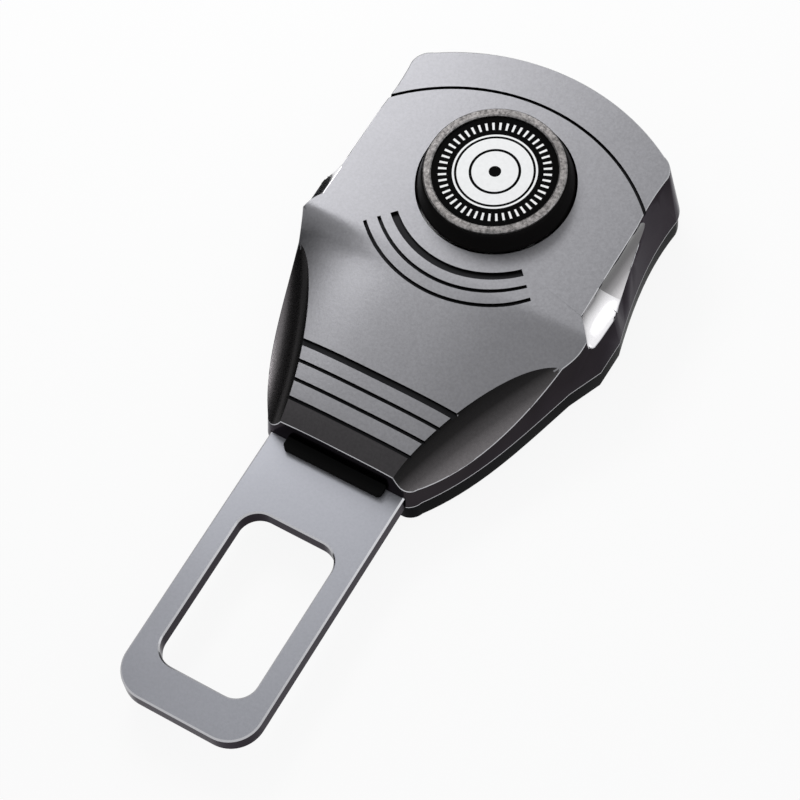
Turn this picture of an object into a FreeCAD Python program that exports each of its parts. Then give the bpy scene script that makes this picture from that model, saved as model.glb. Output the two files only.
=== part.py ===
import FreeCAD, Part
import math
import os

Vector = FreeCAD.Vector

# A seat belt extender: a steel latch plate on one end, a buckle with a round press button on the other.
# Sizes are millimetres. x runs across, y towards the belt slot, z up from the flat back.
# While modelling, y = 0 is the button's axis; the finished pieces are moved to the middle of the length.

# Heights from the back
rear_floor = 1.5
frame_rest = 0.9
frame_sheet = 1.6
parting_z = 4.5
face_z = 16.0
tongue_thick = 3.0
floor_z = rear_floor + frame_rest
floor_root_z = rear_floor - 0.5
deck_z = floor_z + frame_sheet
tongue_z = deck_z + tongue_thick

# Half widths that the rest is built round: the tongue plate, the steel frame and the screws beside it
tongue_half = 11.0
frame_half = 15.4
frame_inner = frame_half - frame_sheet
boss_radius = 2.1
boss_room = 0.4
screw_x = frame_half + boss_room + boss_radius

# Housing outline at the parting line: half widths and the stations where they lie
wall = 1.8
draft_angle = 7.0
end_y = 22.1
end_radius = 37.2
corner_room = 7.3
corner_half = frame_half + corner_room
corner_y = 12.3
corner_cut = 2.2
corner_rise = 0.55
waist_half = corner_half - 0.1
waist_y = 4.0
flare_half = corner_half + 1.2
flare_y = -4.4
shoulder_half = corner_half + 2.35
shoulder_top_y = -9.2
shoulder_y = -14.6
shoulder_taper = 0.1
hip_half = corner_half
hip_y = -19.7
thigh_half = hip_half - 1.45
thigh_y = -24.7
calf_half = tongue_half + 6.65
calf_y = -35.4
tail_half = tongue_half + 1.75
tail_y = -44.4
base_half = tongue_half - 0.4
base_y = -46.3
base_rise = 0.4
draft = math.tan(math.radians(draft_angle))

# The face is flat round the button, then falls to the tongue end while its sides roll down:
# stations with the fall of the middle, and how much lower the side lies at roll_half
crease_y = -13.1
roll_half = 21.0
roll_power = 3
sheet_half = 30.0
sheet_columns = 10
face_rows = [
    (crease_y, 0.0, 0.0),
    (-14.2, 0.02, 0.3),
    (-15.6, 0.12, 1.4),
    (-17.2, 0.32, 2.6),
    (-19.4, 0.6, 3.2),
    (-24.0, 1.2, 3.3),
    (-30.0, 2.0, 3.3),
    (-36.0, 2.8, 3.3),
    (-40.0, 3.4, 3.3),
    (-43.5, 4.1, 3.3),
    (-46.5, 5.0, 3.3),
    (-49.5, 6.0, 3.3),
]

# Hollows along the housing's sides: stations with the drop of the outer ridge and the depth of the arc
face_half = corner_half - 1.45
upper_hollow = [(11.0, 0.1, 0.02), (3.6, 3.3, 0.12), (-3.0, 4.9, 0.45), (-8.0, 5.0, 0.6)]
lower_hollow = [(-5.2, 4.8, 0.3), (-9.4, 4.9, 1.0), (-13.1, 4.7, 0.9)]
hollow_end_y = -15.7
hollow_end_drop = 3.9
hollow_end_in = 1.5
hollow_end_fall = 0.3

# Leaf-shaped hollows beside the lower face: the middle line of the tool that cuts them
cheek_top_x = hip_half - 2.1
cheek_top_y = -22.4
cheek_top_z = 11.5
cheek_foot_x = tongue_half - 0.3
cheek_foot_y = -45.6
cheek_foot_z = 9.0
cheek_lean = 51.0
cheek_mid_radius = 6.0
cheek_end_radius = 4.8
cheek_overrun = 0.12

# Grooves in the face
groove_depth = 0.6
seam_inset = 6.2
seam_width = 0.45
seam_half_angle = 50.0
arc_radii = [15.2, 17.5, 19.6]
arc_widths = [1.1, 0.5, 0.5]
arc_half_angle = 44.0
grip_first_y = -33.8
grip_pitch = 2.7
grip_widths = [1.0, 0.5, 0.5, 0.5]

# Button
button_radius = 11.4
ring_outer = 10.35
button_gap = 0.3
button_rise = 3.2
button_wall = 1.4
button_roof = 1.3
button_edge = 0.25
button_step = 0.3
badge_proud = 0.1
skirt_drop = 3.6
skirt_left = 0.1
skirt_notch_gap = 0.45
ring_inner = 9.15
ring_height = 0.57
ring_bevel = 0.18
badge_gap = 0.05
badge_thick = 0.6
tape_thick = 0.25
lug_inner = 9.9
lug_y = 3.8
lug_width = 3.0
lug_thick = 1.5
leg_width = 1.5
leg_tip_radius = 1.0
leg_gap = 0.3
guide_wall = 1.3
guide_height = 1.6
guide_from_y = 6.1

# Steel frame
frame_front_y = 15.8
frame_wall_rear_y = -22.5
frame_wall_top = 12.5
frame_wall_low = 9.6
frame_tail_half = tongue_half - 0.4
frame_tail_y = -43.8
spring_slot_half = 2.6
spring_slot_rear_y = -33.0
frame_ear_reach = 6.5
rest_rib_width = 1.2
rest_rib_half = frame_inner - 0.2
rest_rib_stations = [14.0, 4.0, -8.5, -29.0]

# Tongue plate
tongue_tip_y = -89.0
tip_radius = 5.0
tongue_break = 0.25
window_half = 7.67
window_near_y = -57.2
window_far_y = -82.9
window_radius = 3.3
rivet_x = 6.0
rivet_y = -39.5
rivet_radius = 2.0
rivet_head_radius = 3.0
rivet_head_height = 0.8
exit_gap = 0.12
exit_reach = 6.0
collar_half = 8.0
collar_out = 1.3
collar_height = 1.2
collar_flange = 1.5
collar_flange_side = 1.6
collar_flange_top = 0.8
collar_gap = 0.03
channel_gap = 0.2
channel_half = tongue_half + channel_gap

# Belt slot
slot_half = frame_inner - 1.5
slot_height = 4.25
slot_roof = 1.2
guide_gap = 0.1
guide_start_y = 8.0
roof_start_y = 0.6
roof_half = slot_half - 0.9
mouth_flange_half = frame_half - 0.2
mouth_gap = 0.05
mouth_back_y = frame_front_y + 0.1
mouth_low_z = floor_z + 0.2
mouth_bevel = 0.7
mouth_bevel_side = 1.7
peg_radius = 1.05
peg_height = 1.8
peg_x = 5.5
peg_y = 4.2

# Lock
pivot_y = -3.5
pivot_z = 10.0
pin_radius = 1.25
pin_running_gap = 0.05
pin_end_gap = 0.7
clip_thick = 0.5
clip_radius = 2.3
lever_gap = 0.2
lever_half = frame_inner - lever_gap
lug_reach = lever_half - lever_gap
lever_sheet = 1.8
lever_ear_radius = 2.4
lever_arm_half = 1.2
lever_arm_end_y = 5.4
web_front_y = -6.0
web_back_y = -14.0
web_z = 8.4
dog_half = 5.2
dog_root = 0.5
strap_reach = 2.0
dog_face_y = -13.0
dog_flat_y = -11.0
dog_back_y = -9.0
dog_foot_z = 4.8
dog_ramp_z = 6.8

# Ejector
ejector_gap = 0.2
ejector_half = slot_half - 1.9
ejector_back_y = -21.0
ejector_front_y = -14.8
ejector_top = 7.9
ejector_travel = 10.0
prong_inner = 5.8
prong_outer = 8.5
prong_tip_y = -9.3
prong_top = 6.7
keel_half = 2.1
keel_front_y = -14.5
keel_back_y = -16.5
hold_rib_x = 6.8
hold_rib_width = 1.2
hold_rib_over = 0.8

# Springs; a wire's section has eight sides
wire_sides = 8
spring_end_gap = 0.05
button_spring_radius = 1.6
button_spring_wire = 0.3
button_spring_turns = 5
ejector_spring_radius = 1.7
ejector_spring_wire = 0.28
ejector_spring_turns = 8
latch_spring_radius = 1.62
latch_spring_wire = 0.22
latch_spring_turns = 4
latch_spring_half = 3.0
latch_leg_on_web = 3.0
latch_leg_on_roof = 2.5

# Rear screws, with a cross recess
screw_front_y = 11.3
screw_rear_y = -17.4
screw_radius = 1.0
screw_head_radius = 1.9
screw_head_height = 1.1
screw_length = 7.5
screw_gap = 0.1
recess_depth = 0.6
recess_width = 0.45
recess_length = 2.47
recess_radius = 0.665
cavity_half = screw_x + 2.0

# Rear cover
rear_inset = 0.2
rear_bevel = 0.6

# How deep one form is let into another that it grows from
root = 1.0

# Everything past this is drawn large and trimmed to shape
beyond = 40.0


def box(x0, x1, y0, y1, z0, z1):
    return Part.makeBox(x1 - x0, y1 - y0, z1 - z0, Vector(x0, y0, z0))


def both_sides(shape):
    return shape.fuse(shape.mirror(Vector(0, 0, 0), Vector(1, 0, 0)))


def stroke(points):
    # Two points make a line, three an arc, more a smooth curve
    if len(points) == 2:
        return Part.makeLine(points[0], points[1])
    if len(points) == 3:
        return Part.Arc(points[0], points[1], points[2]).toShape()
    curve = Part.BSplineCurve()
    curve.interpolate(points)
    return curve.toShape()


def arc_between(a, b, rise):
    # An arc from a to b that bulges by rise to the right-hand side of the housing
    across = b - a
    out = Vector(-across.y, across.x, 0)
    if out.x < 0:
        out = out * -1
    out.normalize()
    return [a, (a + b) * 0.5 + out * rise, b]


def end_arc_y(x, inset):
    radius = end_radius - inset
    return end_y - end_radius + math.sqrt(radius * radius - x * x)


def outline(inset, z):
    # Plan outline of the housing at one height, drawn in from the parting line's by inset
    def at(x, y):
        return Vector(x - inset, y, z)
    start = corner_half - corner_cut - inset
    half = start / 2.0
    top = [
        Vector(0, end_arc_y(0, inset), z),
        Vector(half, end_arc_y(half, inset), z),
        Vector(start, end_arc_y(start, inset), z),
    ]
    corner = arc_between(top[2], at(corner_half, corner_y), corner_rise)
    side = [
        at(corner_half, corner_y),
        at(waist_half, waist_y),
        at(flare_half, flare_y),
        at(shoulder_half, shoulder_top_y),
    ]
    shoulder = [at(shoulder_half, shoulder_top_y), at(shoulder_half - shoulder_taper, shoulder_y)]
    hip = [shoulder[1], at(hip_half, hip_y)]
    taper = [
        at(hip_half, hip_y),
        at(thigh_half, thigh_y),
        at(calf_half, calf_y),
        at(tail_half, tail_y),
    ]
    foot = Vector(base_half - inset, base_y + inset, z)
    base = arc_between(at(tail_half, tail_y), foot, base_rise)
    right = [top, corner, side, shoulder, hip, taper, base]
    left = [[Vector(-p.x, p.y, p.z) for p in reversed(points)] for points in reversed(right)]
    foot_line = [foot, Vector(-foot.x, foot.y, foot.z)]
    return Part.Wire([stroke(points) for points in right + [foot_line] + left])


def drafted(inset, low_z, high_z, lean=draft):
    # The housing's body between two heights, leaning in towards the face
    low = outline(inset, low_z)
    high = outline(inset + lean * (high_z - low_z), high_z)
    return Part.makeLoft([low, high], True, True)


def above_face(drop=0.0):
    # Everything above the face, or above a copy of it lowered by drop
    columns = [sheet_half * i / sheet_columns for i in range(-sheet_columns, sheet_columns + 1)]
    rows = []
    for y, fall, roll in face_rows:
        z = face_z - drop - fall
        rows.append([Vector(x, y, z - roll * abs(x / roll_half) ** roll_power) for x in columns])
    sheet = Part.BSplineSurface()
    sheet.interpolate(rows)
    slope = sheet.toShape().extrude(Vector(0, 0, beyond))
    flat = box(-sheet_half, sheet_half, crease_y, beyond, face_z - drop, face_z - drop + beyond)
    return flat.fuse(slope)


def side_half(y):
    # Half width of the parting outline between the waist and the shoulder
    side = stroke([
        Vector(corner_half, corner_y, 0),
        Vector(waist_half, waist_y, 0),
        Vector(flare_half, flare_y, 0),
        Vector(shoulder_half, shoulder_top_y, 0),
    ])
    if y < shoulder_top_y:
        return shoulder_half
    if y > corner_y:
        return corner_half
    cut = Part.makeLine(Vector(0, y, 0), Vector(beyond, y, 0))
    return side.distToShape(cut)[1][0][0].x


def hollow_section(y, inner_x, inner_z, ridge_drop, depth):
    # One slice of the tool that hollows a side: a concave arc from the face's edge to the wall
    ridge_z = face_z - ridge_drop
    ridge_x = side_half(y) - draft * (ridge_z - parting_z)
    inner = Vector(inner_x, y, inner_z)
    outer = Vector(max(ridge_x, inner_x + 0.05), y, ridge_z)
    chord = outer - inner
    inward = Vector(chord.z, 0, -chord.x)
    inward.normalize()
    middle = (inner + outer) * 0.5 + inward * depth
    far = side_half(y) + 5.0
    high = face_z + 3.0
    corners = [outer, Vector(far, y, ridge_z), Vector(far, y, high), Vector(inner_x, y, high), inner]
    edges = [stroke([inner, middle, outer])]
    for a, b in zip(corners, corners[1:]):
        edges.append(stroke([a, b]))
    return Part.Wire(edges)


def side_hollows():
    upper = [hollow_section(y, face_half, face_z, drop, depth) for y, drop, depth in upper_hollow]
    lower = [hollow_section(y, face_half, face_z, drop, depth) for y, drop, depth in lower_hollow]
    end_x = shoulder_half - hollow_end_in
    end_drop = hollow_end_drop + hollow_end_fall
    closing = hollow_section(hollow_end_y, end_x, face_z - hollow_end_drop, end_drop, 0.02)
    return [
        Part.makeLoft(upper, True, False),
        Part.makeLoft(lower, True, False),
        Part.makeLoft([lower[-1], closing], True, True),
    ]


def cheek_hollow():
    # A spindle laid along the edge between face and wall leaves a leaf-shaped hollow
    lean = math.radians(cheek_lean)
    out = Vector(math.cos(lean), 0, math.sin(lean)) * cheek_end_radius
    top = Vector(cheek_top_x, cheek_top_y, cheek_top_z)
    foot = Vector(cheek_foot_x, cheek_foot_y, cheek_foot_z)
    start = top + out
    along = foot - top
    length = along.Length
    rise = cheek_mid_radius - cheek_end_radius
    reach = length * cheek_overrun
    bow_radius = ((length / 2.0) ** 2 + rise ** 2) / (2.0 * rise)

    def radius_at(s):
        offset = s - length / 2.0
        return cheek_mid_radius - bow_radius + math.sqrt(bow_radius ** 2 - offset ** 2)

    low = Vector(radius_at(-reach), 0, -reach)
    mid = Vector(cheek_mid_radius, 0, length / 2.0)
    high = Vector(radius_at(length + reach), 0, length + reach)
    profile = Part.Wire([
        stroke([low, mid, high]),
        stroke([high, Vector(0, 0, high.z)]),
        stroke([Vector(0, 0, high.z), Vector(0, 0, low.z)]),
        stroke([Vector(0, 0, low.z), low]),
    ])
    spindle = Part.Face(profile).revolve(Vector(0, 0, 0), Vector(0, 0, 1), 360)
    turn = FreeCAD.Rotation(Vector(0, 0, 1), along)
    spindle.Placement = FreeCAD.Placement(start, turn)
    return spindle


def arc_groove(radius, width, half_angle, centre_y, facing, depth_tool):
    # A ring sector that cuts a curved groove to the depth of the lowered face
    outer = Part.makeCylinder(radius + width / 2.0, beyond, Vector(0, centre_y, 0))
    inner = Part.makeCylinder(radius - width / 2.0, beyond, Vector(0, centre_y, 0))
    ring = outer.cut(inner)
    spread = math.radians(half_angle)
    reach = radius + width
    tip_x = reach * math.tan(spread)
    wedge = Part.Face(Part.makePolygon([
        Vector(0, centre_y, 0),
        Vector(-tip_x, centre_y + facing * reach, 0),
        Vector(tip_x, centre_y + facing * reach, 0),
        Vector(0, centre_y, 0),
    ])).extrude(Vector(0, 0, beyond))
    return ring.common(wedge).common(depth_tool)


def face_grooves():
    tool = above_face(groove_depth)
    face_end_radius = end_radius - draft * (face_z - parting_z)
    seam_radius = face_end_radius - seam_inset
    cuts = [arc_groove(seam_radius, seam_width, seam_half_angle, end_y - end_radius, 1, tool)]
    for radius, width in zip(arc_radii, arc_widths):
        cuts.append(arc_groove(radius, width, arc_half_angle, 0.0, -1, tool))
    for i, width in enumerate(grip_widths):
        y = grip_first_y - i * grip_pitch
        bar = box(-beyond, beyond, y - width / 2.0, y + width / 2.0, 0, beyond)
        cuts.append(bar.common(tool))
    return cuts


def slot_cutout():
    # Opening in the housing's end for the slot guide's flange
    half = mouth_flange_half + mouth_gap
    return box(-half, half, mouth_back_y, beyond, mouth_low_z - mouth_gap, roof_top())


def slot_top():
    return deck_z + slot_height


def roof_top():
    return slot_top() + slot_roof


def exit_cutout():
    plate_half = tongue_half + exit_gap
    inside_y = tail_y + exit_reach
    plate = box(-plate_half, plate_half, -2 * beyond, inside_y, deck_z - exit_gap, tongue_z + exit_gap)
    lip_half = collar_half + collar_gap
    lip = box(-lip_half, lip_half, -2 * beyond, tail_y, tongue_z, tongue_z + collar_height + collar_gap)
    return plate.fuse(lip)


def screw_places():
    return [Vector(side * screw_x, y, 0) for y in (screw_front_y, screw_rear_y) for side in (1, -1)]


def front_cover():
    outer = drafted(0.0, parting_z, face_z + 1.0).cut(above_face())
    for tool in side_hollows():
        outer = outer.cut(both_sides(tool))
    outer = outer.cut(both_sides(cheek_hollow()))
    roof = above_face(wall)
    room = drafted(wall, parting_z, face_z).cut(roof)
    room = room.common(box(-cavity_half, cavity_half, frame_wall_rear_y - 0.7, beyond, 0, beyond))
    channel = box(-channel_half, channel_half, tail_y, frame_wall_rear_y, 0, tongue_z + channel_gap)
    flange_half = collar_half + collar_flange_side + channel_gap
    flange_top = tongue_z + collar_height + collar_flange_top + channel_gap
    over = box(-flange_half, flange_half, tail_y, frame_wall_rear_y, tongue_z, flange_top)
    run_back_y = ejector_back_y - ejector_travel - channel_gap
    run = box(-channel_half, channel_half, run_back_y, frame_wall_rear_y, tongue_z, flange_top)
    shell = outer.cut(room).cut(channel.fuse([over, run]))
    bosses = []
    for place in screw_places():
        post = Part.makeCylinder(boss_radius, beyond, place + Vector(0, 0, parting_z))
        bosses.append(post)
    rib_z = ejector_top + ejector_gap
    for side in (1, -1):
        x = side * hold_rib_x
        half = hold_rib_width / 2.0
        back_y = ejector_back_y - ejector_travel - hold_rib_over
        bosses.append(box(x - half, x + half, back_y, ejector_front_y - hold_rib_over, rib_z, beyond))
    inner = drafted(wall / 2.0, parting_z, face_z).cut(above_face(wall / 2.0))
    for boss in bosses:
        shell = shell.fuse(boss.common(inner))
    hole = Part.makeCylinder(button_radius + button_gap, beyond, Vector(0, 0, face_z - 2.0 * wall))
    shell = shell.cut(hole)
    for place in screw_places():
        shell = shell.cut(Part.makeCylinder(screw_radius, screw_length + 0.5, place))
    shell = shell.cut(slot_cutout()).cut(exit_cutout())
    for groove in face_grooves():
        shell = shell.cut(groove)
    return shell.removeSplitter()


def rear_cover():
    bottom = outline(rear_inset + rear_bevel, 0.0)
    edge = outline(rear_inset, rear_bevel)
    top = outline(rear_inset, parting_z)
    body = Part.makeLoft([bottom, edge], True, True).fuse(Part.makeLoft([edge, top], True, True))
    room = drafted(rear_inset + wall, rear_floor, parting_z + 1.0, 0.0)
    room = room.common(box(-beyond, beyond, tail_y, beyond, 0, beyond))
    body = body.cut(room)
    for y in rest_rib_stations:
        half = rest_rib_half if y > frame_wall_rear_y else frame_tail_half
        low_y = y - rest_rib_width / 2.0
        body = body.fuse(box(-half, half, low_y, low_y + rest_rib_width, floor_root_z, floor_z))
    for place in screw_places():
        start = place + Vector(0, 0, floor_root_z)
        body = body.fuse(Part.makeCylinder(boss_radius, parting_z - floor_root_z, start))
    for place in screw_places():
        seat_radius = screw_head_radius + screw_gap
        body = body.cut(Part.makeCylinder(seat_radius, screw_head_height + screw_gap, place))
        body = body.cut(Part.makeCylinder(screw_radius + screw_gap, parting_z, place))
    body = body.cut(slot_cutout()).cut(exit_cutout())
    return body.removeSplitter()


def rear_screws():
    screws = []
    for place in screw_places():
        head = Part.makeCylinder(screw_head_radius, screw_head_height, place + Vector(0, 0, screw_gap))
        shank = Part.makeCylinder(screw_radius, screw_length - screw_gap, place + Vector(0, 0, screw_gap))
        screw = head.fuse(shank).cut(Part.makeCylinder(recess_radius, recess_depth, place))
        for turn in (0, 90):
            long, wide = recess_length / 2.0, recess_width / 2.0
            bar = box(-long, long, -wide, wide, 0, recess_depth)
            bar.rotate(Vector(0, 0, 0), Vector(0, 0, 1), turn)
            bar.translate(place)
            screw = screw.cut(bar)
        screws.append(screw)
    return Part.makeCompound(screws)


def rounded_plate(half, low_y, high_y, low_radius, high_radius, z0, z1):
    # A flat bar with its four corners rounded, each end by its own radius
    def quarter(x, y, r, sx, sy):
        bend = r * (1.0 - math.sqrt(0.5))
        middle = Vector(x - sx * bend, y - sy * bend, z0)
        return [Vector(x, y - sy * r, z0), middle, Vector(x - sx * r, y, z0)]

    ne = quarter(half, high_y, high_radius, 1, 1)
    nw = list(reversed(quarter(-half, high_y, high_radius, -1, 1)))
    sw = quarter(-half, low_y, low_radius, -1, -1)
    se = list(reversed(quarter(half, low_y, low_radius, 1, -1)))
    corners = [ne, nw, sw, se]
    edges = []
    for i, corner in enumerate(corners):
        edges.append(stroke(corner))
        edges.append(stroke([corner[2], corners[(i + 1) % 4][0]]))
    return Part.Face(Part.Wire(edges)).extrude(Vector(0, 0, z1 - z0))


def rivet_places():
    return [Vector(side * rivet_x, rivet_y, 0) for side in (1, -1)]


def tongue_plate():
    plate = rounded_plate(tongue_half, tongue_tip_y, spring_slot_rear_y, tip_radius, 0.8, deck_z, tongue_z)
    window = rounded_plate(window_half, window_far_y, window_near_y, window_radius, window_radius,
                           deck_z - 1.0, tongue_z + 1.0)
    plate = plate.cut(window)
    rims = [edge for edge in plate.Edges if edge.BoundBox.ZLength < 0.01]
    plate = plate.makeChamfer(tongue_break, rims)
    for place in rivet_places():
        plate = plate.cut(Part.makeCylinder(rivet_radius, beyond, place))
    return plate


def frame_rivets():
    rivets = []
    for place in rivet_places():
        low = place + Vector(0, 0, floor_z)
        shank = Part.makeCylinder(rivet_radius, tongue_z - floor_z, low)
        foot = Part.makeCone(rivet_head_radius * 0.8, rivet_head_radius, rivet_head_height,
                             low - Vector(0, 0, rivet_head_height))
        head = Part.makeCone(rivet_head_radius, rivet_head_radius * 0.7, rivet_head_height,
                             place + Vector(0, 0, tongue_z))
        rivets.append(shank.fuse(foot).fuse(head).removeSplitter())
    return Part.makeCompound(rivets)


def exit_collar():
    lip_z = tongue_z + collar_height
    lip = rounded_plate(collar_half, base_y - collar_out, tail_y, 0.6, 0.1, tongue_z, lip_z)
    flange_half = collar_half + collar_flange_side
    flange = box(-flange_half, flange_half, tail_y, tail_y + collar_flange,
                 tongue_z, tongue_z + collar_height + collar_flange_top)
    return lip.fuse(flange).removeSplitter()


def buckle_frame():
    # A U-shaped pressing: floor, two side walls with the pivot holes, and a tail under the tongue plate
    low = floor_z
    bend = frame_sheet
    outer = box(-frame_half, frame_half, frame_wall_rear_y, frame_front_y, low, frame_wall_top)
    corners = [e for e in outer.Edges if abs(e.BoundBox.ZMax - low) < 0.01 and e.BoundBox.YLength > 10]
    outer = outer.makeFillet(bend, corners)
    shape = outer.cut(box(-frame_inner, frame_inner, -beyond, beyond, deck_z, beyond))
    for y0, y1 in ((pivot_y + frame_ear_reach, beyond), (-beyond, pivot_y - frame_ear_reach)):
        step = box(-beyond, beyond, y0, y1, frame_wall_low, beyond)
        shape = shape.cut(step)
    tail = rounded_plate(frame_tail_half, frame_tail_y, frame_wall_rear_y + root, 1.5, 0.1, low, deck_z)
    shape = shape.fuse(tail)
    slot = rounded_plate(spring_slot_half, spring_slot_rear_y, keel_front_y + 0.2, 0.2, 0.8, 0, beyond)
    shape = shape.cut(slot)
    for place in rivet_places():
        shape = shape.cut(Part.makeCylinder(rivet_radius, beyond, place))
    bore = Part.makeCylinder(pin_radius, 2 * beyond, Vector(-beyond, pivot_y, pivot_z), Vector(1, 0, 0))
    return shape.cut(bore).removeSplitter()


def slot_guide():
    top = slot_top()
    roof_z = roof_top()
    inside = frame_inner - guide_gap
    throat = box(-inside, inside, guide_start_y, frame_front_y, deck_z, roof_z)
    roof = box(-roof_half, roof_half, roof_start_y, guide_start_y + root, top, roof_z)
    flange = box(-mouth_flange_half, mouth_flange_half, mouth_back_y, beyond, mouth_low_z, roof_z)
    neck = box(-inside, inside, guide_start_y + root, frame_front_y + root, deck_z, roof_z)
    body = throat.fuse(neck).fuse(roof).fuse(flange)
    body = body.common(drafted(0.0, 0.0, face_z, 0.0))
    passage = box(-slot_half, slot_half, guide_start_y - root, beyond, deck_z, top)
    body = body.cut(passage)
    # The mouth opens out a little towards the front
    mouth_y = end_arc_y(slot_half, 0.0)
    throat_line = rectangle(slot_half, deck_z, top)
    bevel = Part.makeLoft([
        Part.makePolygon([Vector(x, mouth_y - mouth_bevel, z) for x, z in throat_line]),
        Part.makePolygon([Vector(x, end_y + mouth_bevel, z) for x, z in
                          rectangle(slot_half + mouth_bevel_side, deck_z - mouth_bevel, top + mouth_bevel)]),
    ], True, True)
    body = body.cut(bevel)
    for side in (1, -1):
        start = Vector(side * peg_x, peg_y, roof_z - root / 2.0)
        peg = Part.makeCylinder(peg_radius, peg_height + root / 2.0, start)
        body = body.fuse(peg)
    return body.removeSplitter()


def rectangle(half, z0, z1):
    return [(-half, z0), (half, z0), (half, z1), (-half, z1), (-half, z0)]


def slab_from_side(points, x0, x1):
    # A flat shape drawn in the y-z plane and given a width across the housing
    corners = [Vector(x0, y, z) for y, z in points]
    return Part.Face(Part.makePolygon(corners + [corners[0]])).extrude(Vector(x1 - x0, 0, 0))


def lock_lever():
    web_top = web_z + lever_sheet
    web = box(-lever_half, lever_half, web_back_y, web_front_y, web_z, web_top)
    dog = slab_from_side([
        (dog_face_y, web_z + dog_root), (dog_face_y, dog_foot_z), (dog_flat_y, dog_foot_z),
        (dog_back_y, dog_ramp_z), (dog_back_y, web_z + dog_root),
    ], -dog_half, dog_half)
    side = lever_half - lever_sheet
    ear = Part.makeCylinder(lever_ear_radius, lever_sheet, Vector(side, pivot_y, pivot_z), Vector(1, 0, 0))
    arm_y = lever_arm_end_y - lever_arm_half
    arm = box(side, lever_half, pivot_y, arm_y, pivot_z - lever_arm_half, pivot_z + lever_arm_half)
    tip = Part.makeCylinder(lever_arm_half, lever_sheet, Vector(side, arm_y, pivot_z), Vector(1, 0, 0))
    strap = slab_from_side([
        (web_front_y - strap_reach, web_z), (pivot_y, pivot_z - lever_ear_radius),
        (pivot_y, pivot_z + lever_ear_radius), (web_front_y - strap_reach, web_top),
    ], side, lever_half)
    flange = ear.fuse([arm, tip, strap])
    body = web.fuse([dog, both_sides(flange)])
    bore = Part.makeCylinder(pin_radius + pin_running_gap, 2 * beyond, Vector(-beyond, pivot_y, pivot_z),
                             Vector(1, 0, 0))
    return body.cut(bore).removeSplitter()


def lever_pin():
    half = frame_half + pin_end_gap
    return Part.makeCylinder(pin_radius, 2 * half, Vector(-half, pivot_y, pivot_z), Vector(1, 0, 0))


def pin_clips():
    start = Vector(frame_half + 0.05, pivot_y, pivot_z)
    disc = Part.makeCylinder(clip_radius, clip_thick, start, Vector(1, 0, 0))
    disc = disc.cut(Part.makeCylinder(pin_radius, clip_thick, start, Vector(1, 0, 0)))
    mouth = box(0, beyond, pivot_y - pin_radius * 0.8, pivot_y + pin_radius * 0.8, 0, pivot_z)
    disc = disc.cut(mouth)
    return Part.makeCompound([disc, disc.mirror(Vector(0, 0, 0), Vector(1, 0, 0))])


def ejector():
    bottom = deck_z + ejector_gap
    body = box(-ejector_half, ejector_half, ejector_back_y, ejector_front_y, bottom, ejector_top)
    prong = box(prong_inner, prong_outer, ejector_front_y - root, prong_tip_y, bottom, prong_top)
    keel = box(-keel_half, keel_half, keel_back_y, keel_front_y, floor_z + ejector_gap, bottom + root / 2.0)
    shape = body.fuse([both_sides(prong), keel])
    channel_radius = ejector_spring_radius + ejector_spring_wire + 0.25
    axis_z = ejector_spring_z()
    start = Vector(0, ejector_back_y, axis_z)
    channel = Part.makeCylinder(channel_radius, keel_back_y - ejector_back_y, start, Vector(0, 1, 0))
    throat = box(-channel_radius, channel_radius, ejector_back_y, keel_back_y, 0, axis_z)
    return shape.cut(channel).cut(throat).removeSplitter()


def ejector_spring_z():
    return floor_z + ejector_spring_radius + ejector_spring_wire + 0.2


def coil(radius, wire, turns, length):
    # A compression spring standing on the origin, its end turns closed to the wire's own pitch
    pitch = (length - 2 * wire) / turns
    helix = Part.makeHelix(pitch, length - 2 * wire, radius)
    turns_of = [2.0 * math.pi * i / wire_sides for i in range(wire_sides)]
    corners = [Vector(radius + wire * math.cos(a), 0, wire * math.sin(a)) for a in turns_of]
    section = Part.makePolygon(corners + [corners[0]])
    spring = Part.Wire(helix).makePipeShell([section], True, True)
    spring.translate(Vector(0, 0, wire))
    return spring


def ejector_spring():
    length = keel_back_y - spring_slot_rear_y
    spring = coil(ejector_spring_radius, ejector_spring_wire, ejector_spring_turns,
                  length - 2 * spring_end_gap)
    spring.rotate(Vector(0, 0, 0), Vector(1, 0, 0), -90)
    spring.translate(Vector(0, spring_slot_rear_y + spring_end_gap, ejector_spring_z()))
    return spring


def button_springs():
    low = roof_top()
    length = knob_under() - low
    springs = []
    for side in (1, -1):
        spring = coil(button_spring_radius, button_spring_wire, button_spring_turns,
                      length - 2 * spring_end_gap)
        spring.translate(Vector(side * peg_x, peg_y, low + spring_end_gap))
        springs.append(spring)
    return Part.makeCompound(springs)


def latch_spring():
    # A torsion spring round the pin: one leg holds the web down, the other rests on the guide's roof
    length = 2 * latch_spring_half
    spring = coil(latch_spring_radius, latch_spring_wire, latch_spring_turns, length)
    spring.rotate(Vector(0, 0, 0), Vector(0, 0, 1), 90)
    spring.rotate(Vector(0, 0, 0), Vector(0, 1, 0), 90)
    spring.rotate(Vector(0, 0, 0), Vector(1, 0, 0), 90)
    spring.translate(Vector(-latch_spring_half, pivot_y, pivot_z))
    top = pivot_z + latch_spring_radius
    end_x = latch_spring_half - latch_spring_wire
    on_web = Vector(end_x, web_front_y - latch_leg_on_web, web_z + lever_sheet + latch_spring_wire)
    on_roof = Vector(-end_x, roof_start_y + latch_leg_on_roof, roof_top() + latch_spring_wire)
    legs = []
    for foot in (on_web, on_roof):
        start = Vector(foot.x, pivot_y, top)
        legs.append(Part.makeCylinder(latch_spring_wire, (foot - start).Length, start, foot - start))
    return spring.fuse(legs)


def knob_under():
    # Underside of the button's roof
    return face_z + button_rise - button_roof - badge_thick - tape_thick + badge_proud


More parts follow.
